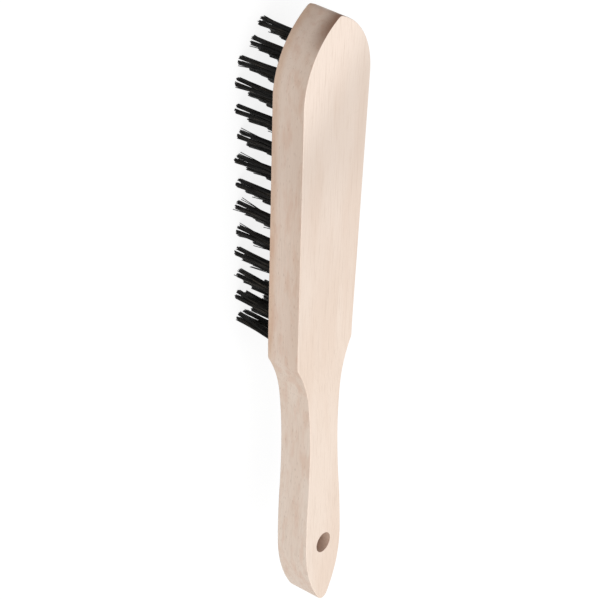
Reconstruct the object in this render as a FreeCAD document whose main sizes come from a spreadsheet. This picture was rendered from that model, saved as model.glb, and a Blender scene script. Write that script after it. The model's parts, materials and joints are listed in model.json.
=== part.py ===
import FreeCAD, Part
import math
import os
import Sketcher

# A wire scratch brush: one shaped wooden block that is head and handle at once, with folded
# tufts of steel wire, each held in a blind hole by a flat steel anchor driven into its fold.
# X runs from the butt of the handle to the nose, Y across, Z up. The brush stands on its
# wire tips at Z = 0, with the bare back of the block on top, and X = 0 is half its length.

SIZES = {
    # plan outline of the block, distances along it measured from the butt of the handle
    "block_length": 290.0,
    "head_width": 42.8,
    "widest_from_butt": 256.4,
    "nose_tip_radius": 2.7,
    "shoulder_width": 36.8,
    "shoulder_from_butt": 129.6,
    "shoulder_round": 4.0,
    "neck_radius": 51.0,
    "waist_radius": 198.0,
    "waist_width": 19.0,
    "waist_from_butt": 85.7,
    "grip_width": 23.9,
    "grip_from_butt": 31.0,
    "butt_tip_radius": 3.5,
    # side view of the block
    "block_thickness": 16.2,
    "butt_rise": 5.6,
    "bend_from_butt": 133.4,
    "bend_radius": 300.0,
    "edge_round": 0.3,
    "hang_hole_diameter": 9.5,
    "hang_hole_from_butt": 30.6,
    # drilling of the head
    "first_row_inset": 6.4,
    "nose_tuft_inset": 15.8,
    "edge_inset": 5.8,
    "hole_diameter": 4.2,
    "hole_depth": 11.0,
    # wire tufts
    "bristle_length": 23.0,
    "tuft_clearance": 0.1,
    "leg_gap": 0.2,
    "leg_splay": 0.3,
    "fold_height": 2.2,
    # flat anchors
    "anchor_height": 2.4,
    "anchor_thickness": 0.5,
    "anchor_bite": 0.6,
    "anchor_clearance": 0.05,
}

# Rows of tufts, from the shoulder to the nose, each a list of runs across the head: (place along
# the head in row pitches, tufts). A run of three has a tuft on the middle line and one along each
# edge; a run of two stands between them, level with the three at the shoulder and half a pitch
# behind them from the third row on. The last two rows follow the round of the nose.
FULL_ROWS = 12
ROWS = [[(0, 3), (0, 2)], [(1, 3), (0.75, 2)]]
ROWS += [[(place, 3), (place - 0.5, 2)] for place in range(2, FULL_ROWS)]
ROWS += [[(FULL_ROWS - 0.5, 2)], [(FULL_ROWS, 1)]]

UP = FreeCAD.Vector(0, 0, 1)

doc = FreeCAD.newDocument("wire_brush")
sheet = doc.addObject("Spreadsheet::Sheet", "Sizes")
for line, (alias, value) in enumerate(SIZES.items(), 1):
    sheet.set(f"A{line}", alias)
    sheet.set(f"B{line}", str(value))
    sheet.setAlias(f"B{line}", alias)
doc.recompute()

# lengths that follow from the driving ones, as expressions
BUTT_X = "(-Sizes.block_length / 2)"
NOSE_X = "(Sizes.block_length / 2)"
WIDEST_X = f"({BUTT_X} + Sizes.widest_from_butt)"
SHOULDER_X = f"({BUTT_X} + Sizes.shoulder_from_butt)"
WAIST_X = f"({BUTT_X} + Sizes.waist_from_butt)"
GRIP_X = f"({BUTT_X} + Sizes.grip_from_butt)"
BEND_X = f"({BUTT_X} + Sizes.bend_from_butt)"
FIRST_ROW_X = f"({SHOULDER_X} + Sizes.first_row_inset)"
ROW_PITCH = f"(({NOSE_X} - Sizes.nose_tuft_inset - {FIRST_ROW_X}) / {FULL_ROWS})"
ACROSS_PITCH = "(Sizes.shoulder_width / 2 - Sizes.edge_inset)"
STOCK_TOP = "(Sizes.bristle_length + Sizes.block_thickness + Sizes.butt_rise + Sizes.block_thickness)"
TUFT_RADIUS = "(Sizes.hole_diameter / 2 - Sizes.tuft_clearance)"
ANCHOR_LENGTH = "(Sizes.hole_diameter + 2 * Sizes.anchor_bite)"
ANCHOR_Z = "(Sizes.hole_depth - Sizes.fold_height - Sizes.anchor_height)"
SLOT_WIDTH = "(Sizes.anchor_thickness + 2 * Sizes.anchor_clearance)"


def worth(expression):
    """The present value of an expression on the sheet, in millimetres."""
    return float(sheet.evalExpression(expression))


def origin_feature(body, role):
    return next(item for item in body.Origin.OriginFeatures if item.Role == role)


def new_body(name):
    body = doc.addObject("PartDesign::Body", name)
    body.Label = name
    body.AllowCompound = True
    return body


def new_sketch(body, name, plane="XY_Plane"):
    sketch = body.newObject("Sketcher::SketchObject", name)
    sketch.AttachmentSupport = [(origin_feature(body, plane), "")]
    sketch.MapMode = "FlatFace"
    return sketch


def tie(sketch, kind, *where_and_expression):
    """Adds a dimension to a sketch and binds it to the sheet."""
    *where, expression = where_and_expression
    number = sketch.addConstraint(Sketcher.Constraint(kind, *where, worth(expression)))
    sketch.setExpression(f"Constraints[{number}]", expression)


def join(sketch, kind, one, one_point, other, other_point):
    sketch.addConstraint(Sketcher.Constraint(kind, one, one_point, other, other_point))


def put_on(sketch, one, one_point, line):
    sketch.addConstraint(Sketcher.Constraint("PointOnObject", one, one_point, line))


def new_pad(body, name, sketch, length, symmetric=False):
    pad = body.newObject("PartDesign::Pad", name)
    pad.Profile = sketch
    pad.Midplane = symmetric
    pad.setExpression("Length", length)
    return pad


def new_pocket(body, name, sketch, length, symmetric=False, upwards=False):
    pocket = body.newObject("PartDesign::Pocket", name)
    pocket.Profile = sketch
    pocket.Midplane = symmetric
    pocket.Reversed = upwards
    pocket.setExpression("Length", length)
    return pocket


def first_y(count):
    """Where a run of tufts starts, on the -Y side of the middle line."""
    return f"-{count - 1} * {ACROSS_PITCH} / 2"


def repeat(body, name, features, count, rows=1):
    """Repeats features over a run of tufts and over rows along X; the pattern becomes the tip."""
    pattern = body.newObject("PartDesign::LinearPattern", name)
    pattern.Originals = features
    pattern.Direction = (origin_feature(body, "Y_Axis"), [""])
    pattern.Occurrences = count
    pattern.setExpression("Length", f"{count - 1} * {ACROSS_PITCH}")
    if rows > 1:
        pattern.Direction2 = (origin_feature(body, "X_Axis"), [""])
        pattern.Occurrences2 = rows
        pattern.setExpression("Length2", f"{rows - 1} * {ROW_PITCH}")
    body.Tip = pattern


# ---- outline of the block ----

EDGE, START, END, CENTRE = range(4)  # a sketch's numbers for what a constraint takes of a curve
X_AXIS = -1  # and for its own long axis


def arc_between(centre, first, last, convex):
    """An arc travelled from first to last: anticlockwise where the outline is convex."""
    first_angle = math.atan2(first[1] - centre[1], first[0] - centre[0])
    last_angle = math.atan2(last[1] - centre[1], last[0] - centre[0])
    radius = math.dist(centre, first)
    circle = Part.Circle(FreeCAD.Vector(*centre, 0), UP, radius)
    if convex:
        return Part.ArcOfCircle(circle, first_angle, last_angle)
    return Part.ArcOfCircle(circle, last_angle, first_angle)


def tip_arc_centre(tip_centre_x, tip_radius, wide_x, half_width):
    """Centre of the arc that leaves the widest point level and closes on a tip arc."""
    reach = wide_x - tip_centre_x
    radius = (reach**2 + half_width**2 - tip_radius**2) / (2 * (half_width - tip_radius))
    return wide_x, half_width - radius


def touching_point(centre, other, radius):
    """The point on the circle about other, on the line from centre through other."""
    span = math.dist(centre, other)
    return tuple(b + (b - a) * radius / span for a, b in zip(centre, other))


def neck_arc_centre(corner, neck_radius, waist_centre, waist_radius):
    """Centre of the arc that starts at the corner and runs into the waist arc from inside."""
    span = math.dist(corner, waist_centre)
    along = (neck_radius**2 - (waist_radius - neck_radius) ** 2 + span**2) / (2 * span)
    aside = math.sqrt(neck_radius**2 - along**2)
    ux = (waist_centre[0] - corner[0]) / span
    uy = (waist_centre[1] - corner[1]) / span
    return corner[0] + along * ux - aside * uy, corner[1] + along * uy + aside * ux


def sketch_half_outline(body):
    """Half the plan outline, from the nose over the +Y side to the butt, shut along the X axis."""
    nose_x, butt_x, widest_x = worth(NOSE_X), worth(BUTT_X), worth(WIDEST_X)
    nose_radius, butt_radius = worth("Sizes.nose_tip_radius"), worth("Sizes.butt_tip_radius")
    neck_radius, waist_radius = worth("Sizes.neck_radius"), worth("Sizes.waist_radius")
    widest = (widest_x, worth("Sizes.head_width / 2"))
    shoulder = (worth(SHOULDER_X), worth("Sizes.shoulder_width / 2"))
    waist = (worth(WAIST_X), worth("Sizes.waist_width / 2"))
    grip = (worth(GRIP_X), worth("Sizes.grip_width / 2"))

    nose_centre = (nose_x - nose_radius, 0)
    nose_side_centre = tip_arc_centre(nose_centre[0], nose_radius, *widest)
    nose_joint = touching_point(nose_side_centre, nose_centre, nose_radius)
    waist_centre = (waist[0], waist[1] + waist_radius)
    neck_centre = neck_arc_centre(shoulder, neck_radius, waist_centre, waist_radius)
    neck_joint = touching_point(waist_centre, neck_centre, neck_radius)
    swing = (waist[0] - grip[0], grip[1] - waist[1])
    swing_radius = (swing[0] ** 2 + swing[1] ** 2) / (4 * swing[1])
    swing_joint = ((waist[0] + grip[0]) / 2, (waist[1] + grip[1]) / 2)
    butt_centre = (butt_x + butt_radius, 0)
    butt_side_centre = tip_arc_centre(butt_centre[0], butt_radius, *grip)
    butt_joint = touching_point(butt_side_centre, butt_centre, butt_radius)

    runs = [
        (nose_centre, (nose_x, 0), nose_joint, True),
        (nose_side_centre, nose_joint, widest, True),
        (None, widest, shoulder, True),
        (neck_centre, shoulder, neck_joint, False),
        (waist_centre, neck_joint, waist, False),
        ((waist[0], waist[1] + swing_radius), waist, swing_joint, False),
        ((grip[0], grip[1] - swing_radius), swing_joint, grip, True),
        (butt_side_centre, grip, butt_joint, True),
        (butt_centre, butt_joint, (butt_x, 0), True),
        (None, (butt_x, 0), (nose_x, 0), True),
    ]
    sketch = new_sketch(body, "half_outline")
    ends = []
    for centre, first, last, convex in runs:
        if centre is None:
            sketch.addGeometry(Part.LineSegment(FreeCAD.Vector(*first, 0), FreeCAD.Vector(*last, 0)))
        else:
            sketch.addGeometry(arc_between(centre, first, last, convex))
        ends.append((START, END) if convex else (END, START))
    nose_tip, _, head_side, neck, waist_front, waist_rear, grip_front, _, butt_tip, axis = range(10)

    for number in range(10):
        following = (number + 1) % 10
        smooth = number not in (head_side, butt_tip, axis)
        kind = "Tangent" if smooth else "Coincident"
        join(sketch, kind, number, ends[number][1], following, ends[following][0])

    for tip, end, place, radius in (
        (nose_tip, ends[nose_tip][0], NOSE_X, "Sizes.nose_tip_radius"),
        (butt_tip, ends[butt_tip][1], BUTT_X, "Sizes.butt_tip_radius"),
    ):
        put_on(sketch, tip, CENTRE, X_AXIS)
        put_on(sketch, tip, end, X_AXIS)
        tie(sketch, "DistanceX", tip, end, place)
        tie(sketch, "Radius", tip, radius)
    for run, place, half_width in (
        (head_side, WIDEST_X, "Sizes.head_width / 2"),
        (neck, SHOULDER_X, "Sizes.shoulder_width / 2"),
        (waist_rear, WAIST_X, "Sizes.waist_width / 2"),
    ):
        tie(sketch, "DistanceX", run, ends[run][0], place)
        tie(sketch, "DistanceY", run, ends[run][0], half_width)
    tie(sketch, "DistanceX", grip_front, END, GRIP_X)
    tie(sketch, "DistanceY", grip_front, END, "Sizes.grip_width / 2")
    join(sketch, "Vertical", waist_rear, END, waist_rear, CENTRE)
    join(sketch, "Vertical", grip_front, END, grip_front, CENTRE)
    sketch.addConstraint(Sketcher.Constraint("Equal", waist_rear, grip_front))
    tie(sketch, "Radius", neck, "Sizes.neck_radius")
    tie(sketch, "Radius", waist_front, "Sizes.waist_radius")
    return sketch


def cut_to_bend(body, name, face_z, far_z):
    """Cuts the stock to a face that is level along the head and rises gently along the handle."""
    beyond = "Sizes.block_thickness"
    nose_x, butt_x = worth(f"{NOSE_X} + {beyond}"), worth(f"{BUTT_X} - {beyond}")
    level, far = worth(face_z), worth(far_z)
    slope = worth("Sizes.butt_rise / Sizes.bend_from_butt")
    bend_x, radius = worth(BEND_X), worth("Sizes.bend_radius")
    angle = math.atan(slope)
    reach = radius * math.tan(angle / 2)
    centre = (bend_x + reach, level + radius)
    level_end = (bend_x + reach, level)
    slope_start = (bend_x - reach * math.cos(angle), level + reach * math.sin(angle))
    slope_end = (butt_x, level + (bend_x - butt_x) * slope)
    corners = [(nose_x, level), level_end, slope_start, slope_end, (butt_x, far), (nose_x, far)]

    sketch = new_sketch(body, f"{name}_profile", "XZ_Plane")
    points = [FreeCAD.Vector(*corner, 0) for corner in corners]
    level_run, bend, slope_run, butt_side, far_side, nose_side, guide = range(7)
    sketch.addGeometry(Part.LineSegment(points[0], points[1]))
    sketch.addGeometry(arc_between(centre, level_end, slope_start, False))
    for side in (slope_run, butt_side, far_side, nose_side):
        sketch.addGeometry(Part.LineSegment(points[side], points[(side + 1) % len(points)]))
    butt_point = FreeCAD.Vector(worth(BUTT_X), level + worth("Sizes.butt_rise"), 0)
    sketch.addGeometry(Part.LineSegment(FreeCAD.Vector(bend_x, level, 0), butt_point), True)

    join(sketch, "Tangent", level_run, END, bend, END)
    join(sketch, "Tangent", bend, START, slope_run, START)
    loop = (slope_run, butt_side, far_side, nose_side, level_run)
    for one, other in zip(loop, loop[1:]):
        join(sketch, "Coincident", one, END, other, START)
    for side, direction in (
        (level_run, "Horizontal"),
        (far_side, "Horizontal"),
        (butt_side, "Vertical"),
        (nose_side, "Vertical"),
    ):
        sketch.addConstraint(Sketcher.Constraint(direction, side))
    put_on(sketch, slope_run, START, guide)
    put_on(sketch, slope_run, END, guide)
    tie(sketch, "Radius", bend, "Sizes.bend_radius")
    tie(sketch, "DistanceX", level_run, START, f"{NOSE_X} + {beyond}")
    tie(sketch, "DistanceY", level_run, START, face_z)
    tie(sketch, "DistanceX", butt_side, END, f"{BUTT_X} - {beyond}")
    tie(sketch, "DistanceY", butt_side, END, far_z)
    tie(sketch, "DistanceX", guide, START, BEND_X)
    tie(sketch, "DistanceY", guide, START, face_z)
    tie(sketch, "DistanceX", guide, END, BUTT_X)
    tie(sketch, "DistanceY", guide, END, f"{face_z} + Sizes.butt_rise")
    return new_pocket(body, name, sketch, "2 * Sizes.head_width", symmetric=True)


def round_edges(body, name, base, wanted, radius):
    fillet = body.newObject("PartDesign::Fillet", name)
    names = [f"Edge{n}" for n, edge in enumerate(base.Shape.Edges, 1) if wanted(edge)]
    fillet.Base = (base, names)
    fillet.setExpression("Radius", radius)
    return fillet


def is_upright(edge):
    box = edge.BoundBox
    return box.XLength + box.YLength < box.ZLength / 100


def drill(body, name, place, count, rows=1):
    """Blind holes across the head, each with the two grooves that its anchor bites."""
    row_x = f"{FIRST_ROW_X} + {place} * {ROW_PITCH}"

    hole = new_sketch(body, f"{name}_hole")
    hole.setExpression("AttachmentOffset.Base.z", "Sizes.bristle_length")
    draw_circle(hole, row_x, first_y(count), "Sizes.hole_diameter / 2")
    bore = new_pocket(body, f"{name}_bore", hole, "Sizes.hole_depth", upwards=True)

    groove = new_sketch(body, f"{name}_groove")
    groove.setExpression("AttachmentOffset.Base.z", f"Sizes.bristle_length + {ANCHOR_Z}")
    draw_rectangle(groove, row_x, first_y(count), "Sizes.anchor_thickness", ANCHOR_LENGTH)
    bite = new_pocket(body, f"{name}_bite", groove, "Sizes.anchor_height", upwards=True)
    if count > 1:
        repeat(body, f"{name}_pattern", [bore, bite], count, rows)


def draw_circle(sketch, x, y, radius):
    centre = FreeCAD.Vector(worth(x), worth(y), 0)
    number = sketch.addGeometry(Part.Circle(centre, UP, worth(radius)))
    tie(sketch, "DistanceX", number, CENTRE, x)
    tie(sketch, "DistanceY", number, CENTRE, y)
    tie(sketch, "Radius", number, radius)


def draw_rectangle(sketch, x, y, width, length):
    """A rectangle about (x, y), width along X and length along Y."""
    low_x, high_x = f"{x} - {width} / 2", f"{x} + {width} / 2"
    low_y, high_y = f"{y} - {length} / 2", f"{y} + {length} / 2"
    corners = [(low_x, low_y), (high_x, low_y), (high_x, high_y), (low_x, high_y)]
    points = [FreeCAD.Vector(worth(px), worth(py), 0) for px, py in corners]
    for number in range(4):
        sketch.addGeometry(Part.LineSegment(points[number], points[(number + 1) % 4]))
    for number in range(4):
        join(sketch, "Coincident", number, END, (number + 1) % 4, START)
        sketch.addConstraint(Sketcher.Constraint("Vertical" if number % 2 else "Horizontal", number))
    tie(sketch, "DistanceX", 0, START, low_x)
    tie(sketch, "DistanceY", 0, START, low_y)
    tie(sketch, "DistanceX", 1, END, high_x)
    tie(sketch, "DistanceY", 1, END, high_y)


def build_handle():
    """The wooden block: sawn to its outline and to its bend, eased at the edges, then drilled."""
    body = new_body("handle")
    half = new_pad(body, "half_stock", sketch_half_outline(body), STOCK_TOP)
    stock = body.newObject("PartDesign::Mirrored", "stock")
    stock.Originals = [half]
    stock.MirrorPlane = (origin_feature(body, "XZ_Plane"), [""])
    body.Tip = stock
    cut_to_bend(body, "bristle_face", "Sizes.bristle_length", "-Sizes.block_thickness")
    back_z = "(Sizes.bristle_length + Sizes.block_thickness)"
    sawn = cut_to_bend(body, "back_face", back_z, f"{STOCK_TOP} + Sizes.block_thickness")
    doc.recompute()

    shoulder_x, waist_half = worth(SHOULDER_X), worth("Sizes.waist_width / 2")

    def at_shoulder(edge):
        centre = edge.CenterOfMass
        return is_upright(edge) and abs(centre.x - shoulder_x) < 0.01 and abs(centre.y) > waist_half

    shoulders = round_edges(body, "round_shoulders", sawn, at_shoulder, "Sizes.shoulder_round")
    doc.recompute()
    eased = round_edges(body, "ease_edges", shoulders, lambda edge: not is_upright(edge), "Sizes.edge_round")
    doc.recompute()

    hang = new_sketch(body, "hang_circle")
    draw_circle(hang, f"{BUTT_X} + Sizes.hang_hole_from_butt", "0", "Sizes.hang_hole_diameter / 2")
    new_pocket(body, "hang_hole", hang, f"2 * {STOCK_TOP}", symmetric=True)
    drill(body, "nose", *ROWS[-1][0])
    drill(body, "shoulder_pair", *ROWS[0][1])
    drill(body, "next_pair", *ROWS[1][1])
    drill(body, "pairs", *ROWS[2][1], rows=FULL_ROWS - 1)
    drill(body, "threes", *ROWS[0][0], rows=FULL_ROWS)
    return body


def draw_leg(sketch, side, x, y):
    """Half of a round bundle, flat towards its twin: side is +1 for the half nearer the nose."""
    radius, half_gap = worth(TUFT_RADIUS), worth("Sizes.leg_gap / 2")
    flat = math.sqrt(radius**2 - half_gap**2)
    lean = math.atan2(flat, half_gap)
    middle = FreeCAD.Vector(worth(x), worth(y), 0)
    circle = Part.Circle(middle, UP, radius)
    if side > 0:
        sketch.addGeometry(Part.ArcOfCircle(circle, -lean, lean))
    else:
        sketch.addGeometry(Part.ArcOfCircle(circle, math.pi - lean, math.pi + lean))
    top = middle + FreeCAD.Vector(side * half_gap, side * flat, 0)
    foot = middle + FreeCAD.Vector(side * half_gap, -side * flat, 0)
    sketch.addGeometry(Part.LineSegment(top, foot))
    join(sketch, "Coincident", 0, END, 1, START)
    join(sketch, "Coincident", 1, END, 0, START)
    tie(sketch, "DistanceX", 0, CENTRE, x)
    tie(sketch, "DistanceY", 0, CENTRE, y)
    tie(sketch, "Radius", 0, TUFT_RADIUS)
    sketch.addConstraint(Sketcher.Constraint("Vertical", 1))
    tie(sketch, "DistanceX", 1, START, f"{x} + {side} * Sizes.leg_gap / 2")


def place_row(body, place):
    """Sets a row's body at its row, on the bristle face of the block."""
    body.setExpression(".Placement.Base.x", f"{FIRST_ROW_X} + {place} * {ROW_PITCH}")
    body.setExpression(".Placement.Base.z", "Sizes.bristle_length")


def build_tuft_row(row, runs):
    """A row of folded tufts: a round root in the hole, slit for its anchor, and two splayed legs."""
    body = new_body(f"tuft_row_{row:02d}")
    place_row(body, runs[0][0])
    for run, (place, count) in enumerate(runs, 1):
        x, y = f"{place - runs[0][0]} * {ROW_PITCH}", first_y(count)
        root_circle = new_sketch(body, f"root_circle_{row}_{run}")
        draw_circle(root_circle, x, y, TUFT_RADIUS)
        root = new_pad(body, f"root_{row}_{run}", root_circle, "Sizes.hole_depth")
        slit_shape = new_sketch(body, f"slit_shape_{row}_{run}")
        draw_rectangle(slit_shape, x, y, SLOT_WIDTH, ANCHOR_LENGTH)
        slit_shape.setExpression("AttachmentOffset.Base.z", f"{ANCHOR_Z} - Sizes.anchor_clearance")
        slit_height = "Sizes.anchor_height + 2 * Sizes.anchor_clearance"
        slit = new_pocket(body, f"slit_{row}_{run}", slit_shape, slit_height, upwards=True)
        features = [root, slit]
        for side, end in ((1, "nose"), (-1, "butt")):
            leg_shape = new_sketch(body, f"leg_shape_{end}_{row}_{run}")
            draw_leg(leg_shape, side, x, y)
            leg = new_pad(body, f"leg_{end}_{row}_{run}", leg_shape, "Sizes.bristle_length")
            leg.UseCustomVector = True
            leg.AlongSketchNormal = True
            leg.Direction = FreeCAD.Vector(0, 0, -1)
            leg.setExpression("Direction.x", f"{side} * Sizes.leg_splay / Sizes.bristle_length")
            features.append(leg)
        if count > 1:
            repeat(body, f"tufts_{row}_{run}", features, count)
    return body


def build_anchor_row(row, runs):
    """A row of flat anchors, each across the fold of one tuft with its ends bitten into the wood."""
    body = new_body(f"anchor_row_{row:02d}")
    place_row(body, runs[0][0])
    for run, (place, count) in enumerate(runs, 1):
        strip = new_sketch(body, f"strip_{row}_{run}")
        strip.setExpression("AttachmentOffset.Base.z", ANCHOR_Z)
        x = f"{place - runs[0][0]} * {ROW_PITCH}"
        draw_rectangle(strip, x, first_y(count), "Sizes.anchor_thickness", ANCHOR_LENGTH)
        anchor = new_pad(body, f"anchor_{row}_{run}", strip, "Sizes.anchor_height")
        if count > 1:
            repeat(body, f"anchors_{row}_{run}", [anchor], count)
    return body


pieces = [build_handle()]
for number, runs in enumerate(ROWS, 1):
    pieces.append(build_tuft_row(number, runs))
    pieces.append(build_anchor_row(number, runs))
doc.recompute()

for item in doc.Objects:
    if "Invalid" in item.State or "Error" in item.State:
        raise RuntimeError(f"{item.Name} did not recompute: {item.State}")
for piece in pieces:
    if piece.Shape.isNull() or not piece.Shape.isValid():
        raise RuntimeError(f"{piece.Label} has no valid shape")

os.makedirs("parts", exist_ok=True)
for piece in pieces:
    piece.Shape.exportStep(f"parts/{piece.Label}.step")
    print(piece.Label, len(piece.Shape.Solids), round(piece.Shape.Volume, 2))
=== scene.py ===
import json
import math
import random

import bmesh
import bpy
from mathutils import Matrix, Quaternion, Vector


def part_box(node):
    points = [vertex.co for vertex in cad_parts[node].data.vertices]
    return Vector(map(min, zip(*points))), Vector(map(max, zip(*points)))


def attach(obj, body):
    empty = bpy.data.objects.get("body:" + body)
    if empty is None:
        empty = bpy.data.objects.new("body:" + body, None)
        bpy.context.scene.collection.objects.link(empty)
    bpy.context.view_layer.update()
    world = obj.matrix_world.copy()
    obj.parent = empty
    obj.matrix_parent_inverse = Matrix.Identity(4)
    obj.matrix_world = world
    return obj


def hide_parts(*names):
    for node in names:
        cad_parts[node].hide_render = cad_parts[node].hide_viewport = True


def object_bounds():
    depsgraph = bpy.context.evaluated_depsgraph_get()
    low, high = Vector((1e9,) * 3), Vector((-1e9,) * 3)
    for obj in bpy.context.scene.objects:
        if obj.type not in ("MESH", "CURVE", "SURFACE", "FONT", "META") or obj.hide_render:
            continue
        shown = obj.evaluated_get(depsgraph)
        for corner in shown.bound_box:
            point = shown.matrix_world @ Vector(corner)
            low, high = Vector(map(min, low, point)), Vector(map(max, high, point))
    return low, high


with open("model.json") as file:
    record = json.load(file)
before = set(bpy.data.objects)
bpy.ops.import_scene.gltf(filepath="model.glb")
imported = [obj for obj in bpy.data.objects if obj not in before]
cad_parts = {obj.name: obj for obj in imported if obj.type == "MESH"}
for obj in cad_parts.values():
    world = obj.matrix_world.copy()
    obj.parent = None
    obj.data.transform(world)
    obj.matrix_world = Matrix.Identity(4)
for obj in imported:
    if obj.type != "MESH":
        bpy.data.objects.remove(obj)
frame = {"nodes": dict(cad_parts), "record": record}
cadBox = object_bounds()
mm = 0.001
lowest = cadBox[0]
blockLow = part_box("handle")[0]
mounts = {mount["name"]: mount for mount in frame["record"]["mounts"]}
rows = [node for node in frame["nodes"] if node.startswith("tuft_row")]
print("frame loaded:", len(frame["nodes"]), "nodes")


def tone(red, green, blue):  # a colour as mixed on a screen, turned into light
    def light(part):
        part /= 255
        return part / 12.92 if part <= 0.04045 else ((part + 0.055) / 1.055) ** 2.4
    return (light(red), light(green), light(blue), 1)


class Socket:  # one output in a material; sums on it add Math nodes
    def __init__(self, tree, plug=None):
        self.tree = tree
        self.plug = plug

    def node(self, kind, settings=None, sockets=None, out=0):
        made = self.tree.nodes.new("ShaderNode" + kind)
        for name, value in (settings or {}).items():
            setattr(made, name, value)
        for name, value in (sockets or {}).items():
            if isinstance(value, Socket):
                self.tree.links.new(value.plug, made.inputs[name])
            else:
                made.inputs[name].default_value = value
        return Socket(self.tree, made.outputs[out] if len(made.outputs) else None)

    def maths(self, operation, one, two=0.0, clamp=False):
        return self.node("Math", {"operation": operation, "use_clamp": clamp}, {0: one, 1: two})

    def __add__(self, other):
        return self.maths("ADD", self, other)

    def __sub__(self, other):
        return self.maths("SUBTRACT", self, other)

    def __rsub__(self, other):
        return self.maths("SUBTRACT", other, self)

    def __mul__(self, other):
        return self.maths("MULTIPLY", self, other)

    def __abs__(self):
        return self.maths("ABSOLUTE", self)

    __radd__ = __add__
    __rmul__ = __mul__

    def between(self, low, high):  # 0 at low, 1 at high, smooth in between
        settings = {"interpolation_type": "SMOOTHSTEP"}
        return self.node("MapRange", settings, {"Value": self, "From Min": low, "From Max": high})

    def blend(self, amount, other, how="MIX"):  # a colour mixed with another colour
        settings = {"data_type": "RGBA", "blend_type": how}
        return self.node("Mix", settings, {0: amount, 6: self, 7: other}, out=2)

    def part(self, letter):
        return self.node("SeparateXYZ", None, {0: self}, out="XYZ".index(letter))

    def stretched(self, *scale):
        return self.node("Mapping", None, {"Vector": self, "Scale": scale})

    def noise(self, detail=2.0, roughness=0.5):
        sockets = {"Vector": self, "Scale": 1, "Detail": detail, "Roughness": roughness}
        return self.node("TexNoise", None, sockets)


def newMaterial(name):
    material = bpy.data.materials.new(name)
    material.use_nodes = True
    material.node_tree.nodes.clear()
    return material, Socket(material.node_tree)


def finishMaterial(material, surface):
    surface.node("OutputMaterial", None, {"Surface": surface})
    return material


def pieceFrom(build, name, material):
    mesh = bpy.data.meshes.new(name)
    build.to_mesh(mesh)
    build.free()
    mesh.materials.append(material)
    piece = bpy.data.objects.new(name, mesh)
    bpy.context.scene.collection.objects.link(piece)
    return piece


cameraPlace = {
    "at": Vector((0.67802, 0.8114, 0.64039)),
    "aim": Vector((0.00534, 0, 0.02488)),
    "roll": 115.183,  # the brush stands on its butt in this view
    "lens": 173.978,
    "nearest": 0.01,
    "furthest": 20,
}


def setCamera():
    camera = bpy.data.objects.new("camera", bpy.data.cameras.new("camera"))
    bpy.context.scene.collection.objects.link(camera)
    camera.data.lens = cameraPlace["lens"]
    look = cameraPlace["aim"] - cameraPlace["at"]
    camera.rotation_mode = "QUATERNION"
    roll = Quaternion((0, 0, 1), math.radians(cameraPlace["roll"]))
    camera.rotation_quaternion = look.to_track_quat("-Z", "Y") @ roll
    camera.location = cameraPlace["at"]
    camera.data.clip_start = cameraPlace["nearest"]
    camera.data.clip_end = cameraPlace["furthest"]
    bpy.context.scene.camera = camera


studio = {
    "floorSize": 8,
    "floorBounce": 0.20,  # how much of the light the floor gives back to the brush
    "floorGlow": 0.85,  # what the lens sees on top of it, so that the floor comes out white
    "sky": 0.70,
    "sunPower": 1.5,
    "sunSoftness": 80,  # degrees across
    "sunFrom": Vector((-0.12, 0.71, 0.70)),
}


def seesBackdrop(bench):  # 1 when the lens, a mirror or a glass looks at the backdrop
    path = bench.node("LightPath").plug.node
    kinds = ("Camera", "Glossy", "Transmission")
    lens, mirror, glass = [Socket(bench.tree, path.outputs[f"Is {kind} Ray"]) for kind in kinds]
    return bench.maths("ADD", lens + mirror, glass, clamp=True)


def makeFloor():
    material, bench = newMaterial("paleFloor")
    bounce = studio["floorBounce"]
    matt = bench.node("BsdfDiffuse", None, {"Color": (bounce, bounce, bounce, 1)})
    glow = bench.node("Emission", None, {"Color": (1, 1, 1, 1), "Strength": studio["floorGlow"]})
    seen = bench.node("AddShader", None, {0: matt, 1: glow})
    floorFace = bench.node("MixShader", None, {0: seesBackdrop(bench), 1: matt, 2: seen})
    surface = bench.node("NewGeometry").plug.node
    fromBelow = Socket(bench.tree, surface.outputs["Backfacing"])
    clear = bench.node("BsdfTransparent")
    finishMaterial(material, bench.node("MixShader", None, {0: fromBelow, 1: floorFace, 2: clear}))
    build = bmesh.new()
    bmesh.ops.create_grid(build, x_segments=1, y_segments=1, size=studio["floorSize"] / 2)
    bmesh.ops.translate(build, verts=build.verts, vec=(0, 0, lowest.z))
    floor = pieceFrom(build, "floor", material)


def setLight():
    world = bpy.data.worlds.new("studio")
    bpy.context.scene.world = world
    world.use_nodes = True
    world.node_tree.nodes.clear()
    bench = Socket(world.node_tree)
    sky = studio["sky"]
    level = seesBackdrop(bench) * (1 - sky) + sky
    dome = bench.node("Background", None, {"Color": (1, 1, 1, 1), "Strength": level})
    bench.node("OutputWorld", None, {"Surface": dome})
    sun = bpy.data.lights.new("softSun", "SUN")
    sun.energy = studio["sunPower"]
    sun.angle = math.radians(studio["sunSoftness"])
    lamp = bpy.data.objects.new("softSun", sun)
    lamp.rotation_mode = "QUATERNION"
    lamp.rotation_quaternion = studio["sunFrom"].to_track_quat("Z", "Y")
    bpy.context.scene.collection.objects.link(lamp)
    bpy.context.scene.view_settings.view_transform = "Standard"


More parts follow.
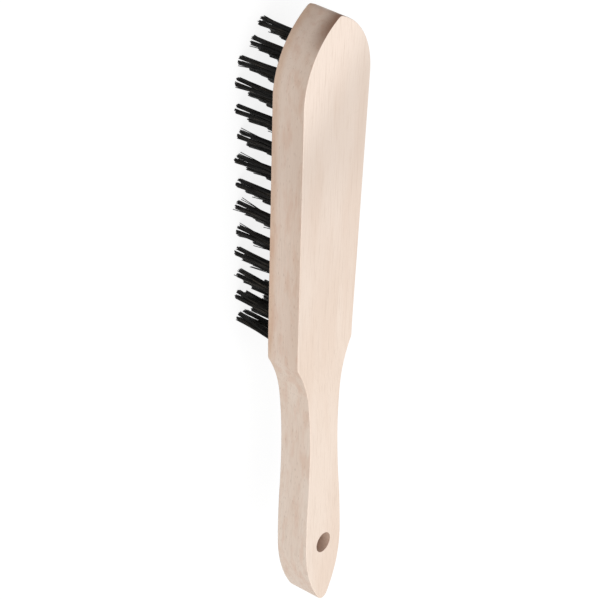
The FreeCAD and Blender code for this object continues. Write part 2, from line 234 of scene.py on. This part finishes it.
woodLooks = {
    "pale": tone(242, 224, 209),
    "tan": tone(231, 207, 188),  # broad warmer clouds in the wood
    "fibre": tone(202, 178, 158),
    "fleck": tone(160, 128, 106),
    "side": tone(250, 246, 244),  # painted shade: the head's steep sides a little darker than the faces that look up and down
    "pink": tone(240, 222, 212),  # blotches on the sawn side
    "edge": tone(238, 233, 228),  # greyer along the top of the side
    "band": tone(240, 222, 205),  # warm strip along the drilled face of the head
    "planed": tone(248, 248, 249),  # painted shade on the head's back, darker than the handle's
    "darkerTone": tone(246, 246, 246),  # painted shade from the widest part of the head on to the nose, on all faces
    "bright": tone(251, 233, 219),  # painted highlight: a paler patch on the back of the nose
    "nose": tone(142, 106, 84),  # end grain at the nose: its own browner colour, deepened by painted shade on faces turned towards the nose
    # inside the hang hole: painted shade, a little browner than the wood
    "bore": tone(198, 182, 173),
    "sidewaysSpan": (0.3, 0.8),  # how steep a face is, from a planed face to a sawn side
    "headSpan": (-0.03, 0.0),  # along the block, where the head's looks come in
    "planedSpan": (-0.04, 0.07),
    "darkerSpan": (0.045, 0.085),
    "highlightSpan": (0.095, 0.135),
    "highlightSlant": 0.8,  # the painted highlight starts sooner on the near side
    "highlightAmount": 0.8,
    "swayGrain": (14, 40, 40),  # patterns per metre along, across and through the block
    "sway": (0, 4 * mm, 4 * mm),
    "cloudGrain": (11, 70, 90),
    "cloudSpan": (0.42, 0.68),
    "cloudAmount": 0.45,
    "blotchGrain": (70, 260, 260),
    "blotchSpan": (0.45, 0.7),
    "blotchAmount": 0.5,
    "fibreGrain": (60, 1700, 1700),
    "fibreSpan": (0.48, 0.75),
    "fibreAmount": 0.3,
    "fibreDepth": 0.6,  # share of the relief
    "fineGrain": (150, 4200, 4200),
    "fineSpan": (0.5, 0.8),
    "fineAmount": 0.22,
    "fineDepth": 0.4,
    "fleckGrain": (300, 1700, 1700),
    "fleckReach": (0.10, 0.34),
    "fleckShare": (0.62, 0.8),
    "fleckSides": 0.25,  # the flecks show on the sawn sides, and hardly on the planed faces
    "fleckFaces": 0.08,
    "fleckDepth": 0.5,
    "bandHeight": 4.5 * mm,
    "bandFull": 0.3,  # share of the band's height that has its full colour
    "bandAmount": 0.6,
    "edgeFrom": 0.35,  # share of the head's depth, from the drilled face up
    "edgeAmount": 0.4,
    "noseFacing": (0.5, 0.85),
    "noseFrom": 0.5,
    "noseAmount": 0.75,
    "noseLeast": 0.1,
    "boreRim": 0.3 * mm,
    "boreAmount": 0.75,
    "roughness": 0.62,
    "roughnessSpread": 0.25,
    "relief": 0.12 * mm,
    "reliefStrength": 0.35,
    "gloss": 0.3,
}


def woodMaterial():
    looks = woodLooks
    material, bench = newMaterial("paleWood")
    place = bench.node("TexCoord", out=3)  # its Object output
    facing = bench.node("NewGeometry", out=1)  # its Normal output
    x, y, z = [place.part(letter) for letter in "XYZ"]
    sideways = (1 - abs(facing.part("Z"))).between(*looks["sidewaysSpan"])

    sway = place.stretched(*looks["swayGrain"]).noise(1)
    wavy = place.node("VectorMath", {"operation": "MULTIPLY_ADD"}, {0: sway, 1: looks["sway"], 2: place})
    fibres = wavy.stretched(*looks["fibreGrain"]).noise(3, 0.6)
    fine = wavy.stretched(*looks["fineGrain"]).noise(2, 0.6)
    clouds = place.stretched(*looks["cloudGrain"]).noise(2)
    blotches = place.stretched(*looks["blotchGrain"]).noise(3, 0.6)
    cells = wavy.stretched(*looks["fleckGrain"])
    dash = cells.node("TexVoronoi", {"feature": "F1"}, {"Vector": cells, "Scale": 1, "Randomness": 1})
    pick = Socket(bench.tree, dash.plug.node.outputs["Color"]).part("X")
    fleck = (1 - dash.between(*looks["fleckReach"])) * pick.between(*looks["fleckShare"])

    onHead = x.between(*looks["headSpan"])
    colour = bench.node("RGB")
    colour.plug.default_value = looks["pale"]
    clouding = clouds.between(*looks["cloudSpan"]) * looks["cloudAmount"]
    colour = colour.blend(clouding, looks["tan"])
    # painted shade: the head's steep sides are darkened
    colour = colour.blend(sideways * onHead, looks["side"], "MULTIPLY")
    blotching = blotches.between(*looks["blotchSpan"]) * sideways * looks["blotchAmount"]
    colour = colour.blend(blotching, looks["pink"], "MULTIPLY")
    # painted shade: the back of the head is darkened
    colour = colour.blend(x.between(*looks["planedSpan"]) * (1 - sideways), looks["planed"], "MULTIPLY")
    # painted shade: every face darker from the widest part of the head to the nose
    colour = colour.blend(x.between(*looks["darkerSpan"]), looks["darkerTone"], "MULTIPLY")
    # painted highlight on the back of the nose
    paintedHighlight = (x + y * looks["highlightSlant"]).between(*looks["highlightSpan"]) * (1 - sideways)
    colour = colour.blend(paintedHighlight * looks["highlightAmount"], looks["bright"])
    colour = colour.blend(fibres.between(*looks["fibreSpan"]) * looks["fibreAmount"], looks["fibre"])
    colour = colour.blend(fine.between(*looks["fineSpan"]) * looks["fineAmount"], looks["fibre"])
    flecking = sideways * looks["fleckSides"] + looks["fleckFaces"]
    colour = colour.blend(fleck * flecking, looks["fleck"])

    height = z - blockLow.z
    headDepth = mounts["back_face"]["pos_m"][2] - blockLow.z
    bandTop = looks["bandHeight"]
    band = (1 - height.between(bandTop * looks["bandFull"], bandTop)) * sideways * onHead
    colour = colour.blend(band * looks["bandAmount"], looks["band"], "MULTIPLY")
    upper = height.between(headDepth * looks["edgeFrom"], headDepth) * sideways * onHead
    colour = colour.blend(upper * looks["edgeAmount"], looks["edge"], "MULTIPLY")

    # the nose's end grain: its own browner colour, plus painted shade on the faces that turn towards the
    # nose, most towards the back
    towardsNose = facing.part("X").between(*looks["noseFacing"]) * onHead
    noseTop = height.between(headDepth * looks["noseFrom"], headDepth)
    endGrainAndShade = noseTop * looks["noseAmount"] + looks["noseLeast"]
    colour = colour.blend(towardsNose * sideways * endGrainAndShade, looks["nose"], "MULTIPLY")

    bore = mounts["hang_hole"]
    radius = bore["dims"]["r_mm"] * mm
    along = x - bore["pos_m"][0]
    reach = bench.maths("SQRT", along * along + y * y)
    # painted shade inside the hang hole
    inBore = (1 - reach.between(radius, radius + looks["boreRim"])) * sideways
    colour = colour.blend(inBore * looks["boreAmount"], looks["bore"], "MULTIPLY")

    relief = fibres * looks["fibreDepth"] + fine * looks["fineDepth"] - fleck * looks["fleckDepth"]
    bump = bench.node("Bump", None, {
        "Strength": looks["reliefStrength"],
        "Distance": looks["relief"],
        "Height": relief,
    })
    wood = bench.node("BsdfPrincipled", None, {
        "Base Color": colour,
        "Roughness": looks["roughness"] + (fibres - 0.5) * looks["roughnessSpread"],
        "Normal": bump,
        "Specular IOR Level": looks["gloss"],
    })
    return finishMaterial(material, wood)


wireLooks = {
    "dark": (0.006, 0.0055, 0.005, 1),
    # painted glints: some wires a brown shade instead of near black
    "brown": (0.055, 0.044, 0.032, 1),
    "brownGrain": (1900, 1900, 35),  # one shade for each wire, more or less
    "brownSpan": (0.52, 0.72),
    "brownAmount": 0.8,
    "scaleGrain": (2600, 2600, 700),
    "roughness": 0.42,
    "roughnessSpread": 0.3,
    "relief": 0.02 * mm,
    "reliefStrength": 0.2,
    "metal": 0.35,
    "gloss": 0.25,
}


def wireMaterial():
    looks = wireLooks
    material, bench = newMaterial("blackWire")
    place = bench.node("TexCoord", out=3)  # its Object output
    perWire = place.stretched(*looks["brownGrain"]).noise(1)
    scale = place.stretched(*looks["scaleGrain"]).noise(3)
    colour = bench.node("RGB")
    colour.plug.default_value = looks["dark"]
    # painted glints: a brown shade on some wires
    colour = colour.blend(perWire.between(*looks["brownSpan"]) * looks["brownAmount"], looks["brown"])
    bump = bench.node("Bump", None, {
        "Strength": looks["reliefStrength"],
        "Distance": looks["relief"],
        "Height": scale,
    })
    wire = bench.node("BsdfPrincipled", None, {
        "Base Color": colour,
        "Roughness": looks["roughness"] + (scale - 0.5) * looks["roughnessSpread"],
        "Normal": bump,
        "Metallic": looks["metal"],
        "Specular IOR Level": looks["gloss"],
    })
    return finishMaterial(material, wire)


anchorLooks = {
    "bright": tone(150, 150, 148),
    "darkerTone": tone(105, 103, 100),
    "dullGrain": (900, 900, 900),
    "darkerSpan": (0.45, 0.7),
    "rolledGrain": (3000, 300, 3000),  # rolling marks, which run along the strip
    "roughness": 0.35,
    "roughnessSpread": 0.3,
    "relief": 0.02 * mm,
    "reliefStrength": 0.2,
}


def anchorMaterial():
    looks = anchorLooks
    material, bench = newMaterial("anchorSteel")
    place = bench.node("TexCoord", out=3)  # its Object output
    rolled = place.stretched(*looks["rolledGrain"]).noise(3)
    spots = place.stretched(*looks["dullGrain"]).noise(2)
    colour = bench.node("RGB")
    colour.plug.default_value = looks["bright"]
    colour = colour.blend(spots.between(*looks["darkerSpan"]), looks["darkerTone"])
    bump = bench.node("Bump", None, {
        "Strength": looks["reliefStrength"],
        "Distance": looks["relief"],
        "Height": rolled,
    })
    steel = bench.node("BsdfPrincipled", None, {
        "Base Color": colour,
        "Roughness": looks["roughness"] + (rolled - 0.5) * looks["roughnessSpread"],
        "Normal": bump,
        "Metallic": 1,
    })
    return finishMaterial(material, steel)


tuft = {
    "wiresFolded": 40,  # each folded wire shows two ends
    "wire": 0.36 * mm,
    "sides": 5,  # of a wire's section
    "foldSteps": 4,
    "radius": 2.0 * mm,  # of the bundle where it leaves the wood
    "halfGap": 0.25 * mm,  # from the bundle's middle to each of its halves
    "foldGap": 0.48 * mm,  # keeps the folds clear of the anchor
    "splay": 0.15 * mm,
    "twist": -38,  # degrees that the two halves have turned by at the tips
    "twistSpread": 8,
    "twistHalfway": 0.65,  # share of it that is reached halfway down
    "raggedness": 1.1 * mm,  # how much shorter than the trim a wire can be
    "stray": 0.025,  # share of wires that stick out
    "strayReach": 1.5 * mm,
    "wander": 0.12 * mm,  # how far the end of a wire strays from its place
    "wanderOutwards": 0.3,  # share of the wander that goes the way of the splay
    "wanderHalfway": 0.4,  # share of the wander halfway down a wire
    "lean": 0.3 * mm,
    "seed": 11,
}
nearSideLeans = [  # how the tufts on the near edge lean, shoulder to nose: along, outwards, in mm
    (0.1, -2.9), (0.5, -1.5), (-0.5, -2.0), (-0.3, -0.3), (-1.4, -0.6), (-0.4, 0.2), (-1.3, 0.2),
    (-0.7, 1.6), (-1.3, 0.2), (0.2, 2.4), (1.1, 2.5), (-1.0, 1.1), (-0.8, -0.1), (0.4, 1.3),
]
secondLineLeans = {  # the same for the next line in, by the number of the row
    7: (-1.0, 0),
    8: (-1.8, 0),
    9: (-2.0, 0),
    10: (-1.8, 0),
    11: (-1.5, 0),
    12: (-1.0, 0),
}


def halfRound(count):  # evenly spread places on the nose-side half of a unit disc
    turn = math.pi * (3 - math.sqrt(5))
    spots = []
    for step in range(2 * count):
        reach = math.sqrt((step + 0.5) / (2 * count))
        along, across = reach * math.cos(step * turn), reach * math.sin(step * turn)
        if along > 0:
            spots.append((along, across))
    return spots


def lengthen(build, end, shift):  # draws a wire out from its end face, and returns the new end
    drawn = bmesh.ops.extrude_face_region(build, geom=[end])["geom"]
    corners = [part for part in drawn if isinstance(part, bmesh.types.BMVert)]
    bmesh.ops.translate(build, verts=corners, vec=shift)
    return next(part for part in drawn if isinstance(part, bmesh.types.BMFace))


def foldWire(spot, heights, lean, twist, dice):  # one wire over its anchor, with the hole's axis at x 0, y 0
    tip, mouth, fold = heights
    halfway = tuft["twistHalfway"]
    room = tuft["radius"] - tuft["wire"] / 2
    along = spot[0] * (room - tuft["halfGap"]) + tuft["halfGap"]
    across = spot[1] * room
    foldAlong = max(along, tuft["foldGap"])
    wire = bmesh.new()
    start = bmesh.ops.create_circle(wire, cap_ends=True, segments=tuft["sides"], radius=tuft["wire"] / 2)
    bmesh.ops.translate(wire, verts=start["verts"], vec=(foldAlong, across, fold))
    disc = wire.verts[:] + wire.edges[:] + wire.faces[:]
    bmesh.ops.spin(
        wire, geom=disc, cent=(0, across, fold), axis=(0, 1, 0), angle=-math.pi, steps=tuft["foldSteps"]
    )
    ends = [face for face in wire.faces if len(face.verts) == tuft["sides"]]
    for end in ends:
        side = 1 if end.calc_center_median().x > 0 else -1
        reach = tuft["strayReach"] if dice.random() < tuft["stray"] else 0
        drift = dice.gauss(0, tuft["wanderOutwards"]) * tuft["wander"]
        outwards = tuft["splay"] + drift + reach * dice.random()
        sideways = dice.gauss(0, 1) * tuft["wander"] + reach * dice.uniform(-1, 1)
        root = Vector((side * along, across, 0))
        foot = twist @ (root + Vector((side * outwards, sideways, 0))) + lean
        middle = twist @ root * halfway + root * (1 - halfway) + lean / 2
        bend = tuft["wanderHalfway"]
        middle += Vector((dice.gauss(0, bend), dice.gauss(0, bend), 0)) * tuft["wander"]
        length = mouth - tip - tuft["raggedness"] * dice.random() ** 2
        half = Vector((0, 0, -length / 2))
        end = lengthen(wire, end, Vector((side * (along - foldAlong), 0, mouth - fold)))
        end = lengthen(wire, end, middle - root + half)
        lengthen(wire, end, foot - middle + half)
    return wire


def tuftPlaces(number):  # a run of three, with its pair behind it; the near edge's tuft is the last
    count = frame["record"]["physics"]["collision_pieces"][f"tuft_row_{number:02d}"]
    anchorLow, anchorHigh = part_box(f"anchor_row_{number:02d}")
    loneLow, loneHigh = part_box(f"anchor_row_{len(rows):02d}")  # the nose's single anchor
    halfThick = (loneHigh.x - loneLow.x) / 2
    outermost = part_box(f"tuft_row_{number:02d}")[1].y - tuft["radius"]
    pairX, runX = anchorLow.x + halfThick, anchorHigh.x - halfThick
    if count == 1:
        return [Vector((runX, 0, 0))]
    if count == 2:
        return [Vector((runX, y, 0)) for y in (-outermost, outermost)]
    pair = [Vector((pairX, y, 0)) for y in (-outermost / 2, outermost / 2)]
    return pair + [Vector((runX, y, 0)) for y in (-outermost, 0, outermost)]


def wireRow(number, material):
    name = f"tuft_row_{number:02d}"
    low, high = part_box(name)
    dice = random.Random(tuft["seed"] * 100 + number)
    fold = high.z - tuft["radius"]
    heights = (low.z, blockLow.z, fold)
    places = tuftPlaces(number)
    build = bmesh.new()
    scrap = bpy.data.meshes.new("scrap")
    for place in places:
        turn = tuft["twist"] + dice.gauss(0, 1) * tuft["twistSpread"]
        twist = Quaternion((0, 0, 1), math.radians(turn))
        if place is places[-1]:
            lean = Vector((*nearSideLeans[number - 1], 0)) * mm
        elif place.y > 0 and number in secondLineLeans:
            lean = Vector((*secondLineLeans[number], 0)) * mm
        else:
            lean = Vector((dice.gauss(0, 1), dice.gauss(0, 1), 0)) * tuft["lean"]
        for spot in halfRound(tuft["wiresFolded"]):
            wire = foldWire(spot, heights, lean, twist, dice)
            bmesh.ops.translate(wire, verts=wire.verts, vec=place)
            wire.to_mesh(scrap)
            wire.free()
            build.from_mesh(scrap)
    bpy.data.meshes.remove(scrap)
    bmesh.ops.recalc_face_normals(build, faces=build.faces)
    for face in build.faces:
        face.smooth = len(face.verts) == 4
    piece = pieceFrom(build, f"wires_{number:02d}", material)
    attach(piece, "root")
    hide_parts(name)
    return piece


setCamera()
setLight()
makeFloor()
print("camera, light and floor are set")

wood = woodMaterial()
handle = frame["nodes"]["handle"]
handle.data.materials.clear()
handle.data.materials.append(wood)
steel = anchorMaterial()
for node in frame["nodes"]:
    if node.startswith("anchor_row"):
        frame["nodes"][node].data.materials.clear()
        frame["nodes"][node].data.materials.append(steel)
print("wood and anchors are finished")

blackWire = wireMaterial()
faces = 0
for number in range(1, len(rows) + 1):
    faces += len(wireRow(number, blackWire).data.polygons)
print("wires are bent:", faces, "faces")
